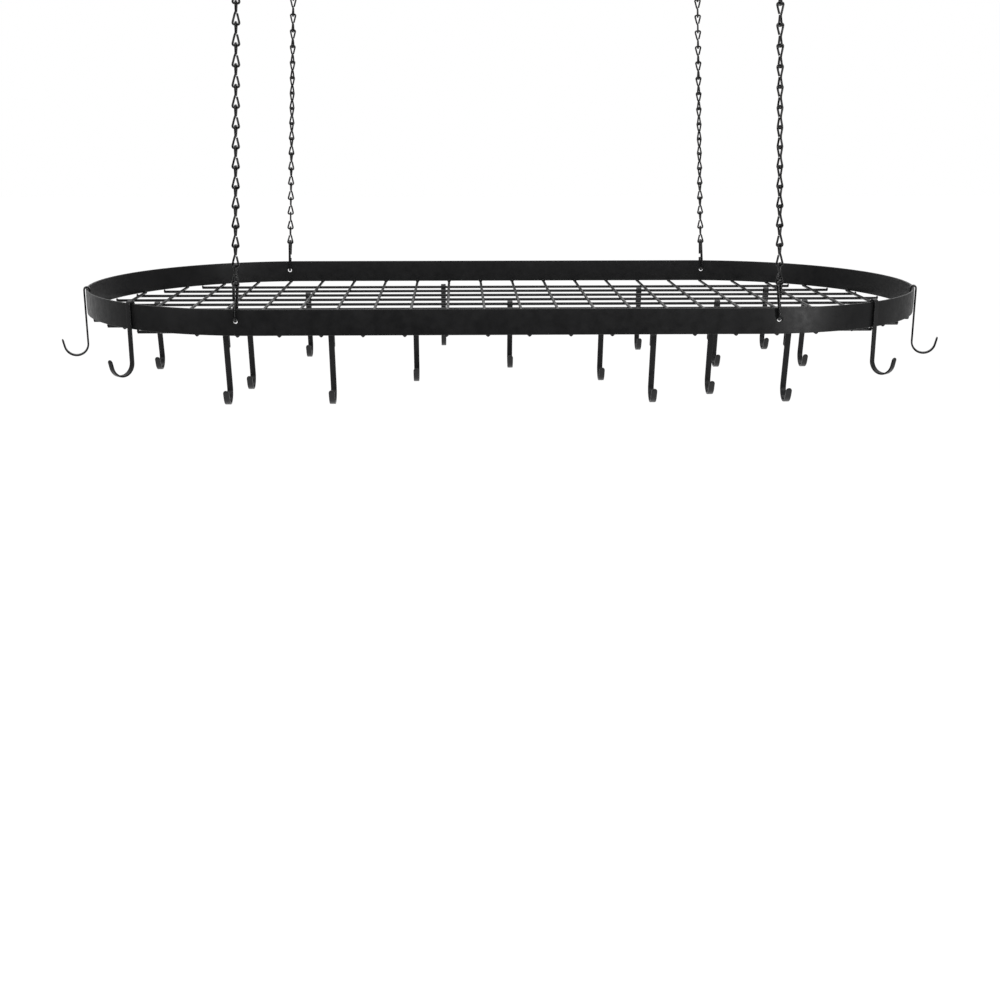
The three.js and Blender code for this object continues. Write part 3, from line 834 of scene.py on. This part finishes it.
def build_hooks():
    shape = strip_hook()
    lean_back = balance_angle(strip_path())
    # The U's axis is this far below the band's upper edge, where the inside of the U clears both corners.
    drop = math.sqrt((U_OPENING / 2) ** 2 - (BAND_THICKNESS / 2) ** 2) - CLEARANCE
    places = []
    for side, degrees in RIM_HOOKS:
        face, normal = oval(side, math.radians(degrees))
        x, y = face - normal * BAND_THICKNESS / 2
        turn = math.degrees(math.atan2(normal[1], normal[0])) + 90
        places.append(spun(moved(x, y, band_z + BAND_HEIGHT - drop), turn, "Z"))
    for row, bay, shift in GRID_HOOKS:
        at = moved(bay * GRID_PITCH + shift, row * GRID_PITCH / 2, long_wire_z)
        places.append(spun(at, lean_back, "X"))
    for number, place in enumerate(places, 1):
        node = f"utility_hook_{number:02d}"
        name = f"strip_hook_{number:02d}"
        shape.make(name, strip_black, node, node, "powder_coated_strip", place, weighted=True)


# ---------------------------------------------------------------- studio, in metres

FLOOR_HEIGHT = -2.0
FLOOR_HALF = 30
FLOOR_GLOW = 0.62           # takes the lit floor up to white where it is seen
ROOM_LIGHT = 0.5            # strength of the surroundings' light on the rack
CARD_HEIGHTS = (FLOOR_HEIGHT, 1.8)

# Cards: their name, their corners seen from above, and their glow.
CARDS = [
    ("dark_card", [(-3.0, 0.0), (-3.0, -2.8), (3.0, -2.8), (3.0, -1.2)], 0.0),
    ("left_grey_card", [(-3.0, 2.2), (-3.0, 0.0)], 0.55),
    ("right_grey_card", [(3.0, -1.2), (3.0, 3.6)], 0.45),
]

# Soft boxes, which all face the rack: their name, their place, their size and their watts.
LIGHT_TARGET = (0, 0, -0.4)
LIGHTS = [
    ("top_softbox", (0.0, 0.25, 1.3), (2.2, 1.2), 30),
    ("left_softbox", (-1.95, -1.4, 0.15), (0.9, 0.7), 13),
    ("right_softbox", (1.5, -1.75, -0.35), (0.35, 0.9), 20),
    ("front_softbox", (-0.2, -2.6, 0.5), (2.6, 0.4), 20),
]

CAMERA_PLACE = (-0.0458, -1.4721, -0.2087)
CAMERA_TURNS = ((-1.717, "Z"), (74.385, "X"), (0.04, "Z"))      # heading, tilt up from straight down, roll
CAMERA_LENS = 49.75


def area_light(name, location, size, power):
    lamp = bpy.data.lights.new(name, "AREA")
    lamp.shape = "RECTANGLE"
    lamp.size, lamp.size_y = size
    lamp.energy = power
    holder = bpy.data.objects.new(name, lamp)
    holder.location = location
    holder.rotation_mode = "QUATERNION"
    holder.rotation_quaternion = (Vector(LIGHT_TARGET) - Vector(location)).to_track_quat("-Z", "Y")
    bpy.context.scene.collection.objects.link(holder)


def white_where_seen(tree):
    """A socket that is 1 for camera, glossy and transmission rays."""
    path = tree.nodes.new("ShaderNodeLightPath")
    seen = path.outputs["Is Camera Ray"]
    for ray in ("Is Glossy Ray", "Is Transmission Ray"):
        either = tree.nodes.new("ShaderNodeMath")
        either.operation = "MAXIMUM"
        tree.links.new(seen, either.inputs[0])
        tree.links.new(path.outputs[ray], either.inputs[1])
        seen = either.outputs[0]
    return seen


def build_world():
    """Surroundings that look white and light the rack more dimly."""
    world = bpy.data.worlds.new("studio")
    world.use_nodes = True
    tree = world.node_tree
    tree.nodes.clear()
    white = tree.nodes.new("ShaderNodeBackground")
    white.inputs["Color"].default_value = (1, 1, 1, 1)
    white.inputs["Strength"].default_value = 1
    soft = tree.nodes.new("ShaderNodeBackground")
    soft.inputs["Color"].default_value = (1, 1, 1, 1)
    soft.inputs["Strength"].default_value = ROOM_LIGHT
    mix = tree.nodes.new("ShaderNodeMixShader")
    out = tree.nodes.new("ShaderNodeOutputWorld")
    tree.links.new(white_where_seen(tree), mix.inputs["Fac"])
    tree.links.new(soft.outputs[0], mix.inputs[1])
    tree.links.new(white.outputs[0], mix.inputs[2])
    tree.links.new(mix.outputs[0], out.inputs["Surface"])
    bpy.context.scene.world = world


def stage_piece(name, corners, faces, material):
    """A plain mesh of the studio, which isn't part of the rack."""
    mesh = bpy.data.meshes.new(name)
    mesh.from_pydata(corners, [], faces)
    mesh.materials.append(material)
    piece = bpy.data.objects.new(name, mesh)
    bpy.context.scene.collection.objects.link(piece)
    return piece


def build_floor():
    """A pale floor well below the rack; it shows white where no shadow falls."""
    material = bpy.data.materials.new("floor_white")
    material.use_nodes = True
    tree = material.node_tree
    tree.nodes.clear()
    paint = tree.nodes.new("ShaderNodeBsdfDiffuse")
    paint.inputs["Color"].default_value = (0.8, 0.8, 0.8, 1)
    glow = tree.nodes.new("ShaderNodeEmission")
    glow.inputs["Color"].default_value = (1, 1, 1, 1)
    lit = tree.nodes.new("ShaderNodeMath")
    lit.operation = "MULTIPLY"
    lit.inputs[1].default_value = FLOOR_GLOW
    tree.links.new(white_where_seen(tree), lit.inputs[0])
    tree.links.new(lit.outputs[0], glow.inputs["Strength"])
    both = tree.nodes.new("ShaderNodeAddShader")
    out = tree.nodes.new("ShaderNodeOutputMaterial")
    tree.links.new(paint.outputs[0], both.inputs[0])
    tree.links.new(glow.outputs[0], both.inputs[1])
    tree.links.new(both.outputs[0], out.inputs["Surface"])
    half = FLOOR_HALF
    plan = [(-half, -half), (half, -half), (half, half), (-half, half)]
    stage_piece("floor", [(x, y, FLOOR_HEIGHT) for x, y in plan], [(0, 1, 2, 3)], material)


def build_card(name, plan, glow):
    """An upright card outside the picture, which only reflections show; plan is its corners from above."""
    material = bpy.data.materials.new(name)
    material.use_nodes = True
    paint = material.node_tree.nodes["Principled BSDF"]
    paint.inputs["Base Color"].default_value = (0.01, 0.01, 0.01, 1)
    paint.inputs["Roughness"].default_value = 1
    paint.inputs["Specular IOR Level"].default_value = 0
    paint.inputs["Emission Color"].default_value = (1, 1, 1, 1)
    paint.inputs["Emission Strength"].default_value = glow
    corners = [(x, y, z) for x, y in plan for z in CARD_HEIGHTS]
    faces = [(i, i + 2, i + 3, i + 1) for i in range(0, 2 * len(plan) - 2, 2)]
    card = stage_piece(name, corners, faces, material)
    card.visible_camera = False
    card.visible_diffuse = False
    card.visible_shadow = False
    card.visible_transmission = False


def build_camera():
    lens = bpy.data.cameras.new("camera")
    lens.sensor_width = 36
    lens.lens = CAMERA_LENS
    holder = bpy.data.objects.new("camera", lens)
    place = Matrix.Translation(CAMERA_PLACE)
    for degrees, axis in CAMERA_TURNS:
        place = place @ Matrix.Rotation(math.radians(degrees), 4, axis)
    holder.matrix_world = place
    bpy.context.scene.collection.objects.link(holder)
    bpy.context.scene.camera = holder


build_band()
build_grid()
build_hangers()
build_hooks()

build_world()
build_floor()
for card_name, card_plan, card_glow in CARDS:
    build_card(card_name, card_plan, card_glow)
build_camera()
for light_name, light_place, light_size, watts in LIGHTS:
    area_light(light_name, light_place, light_size, watts)
bpy.context.scene.view_settings.view_transform = "Standard"
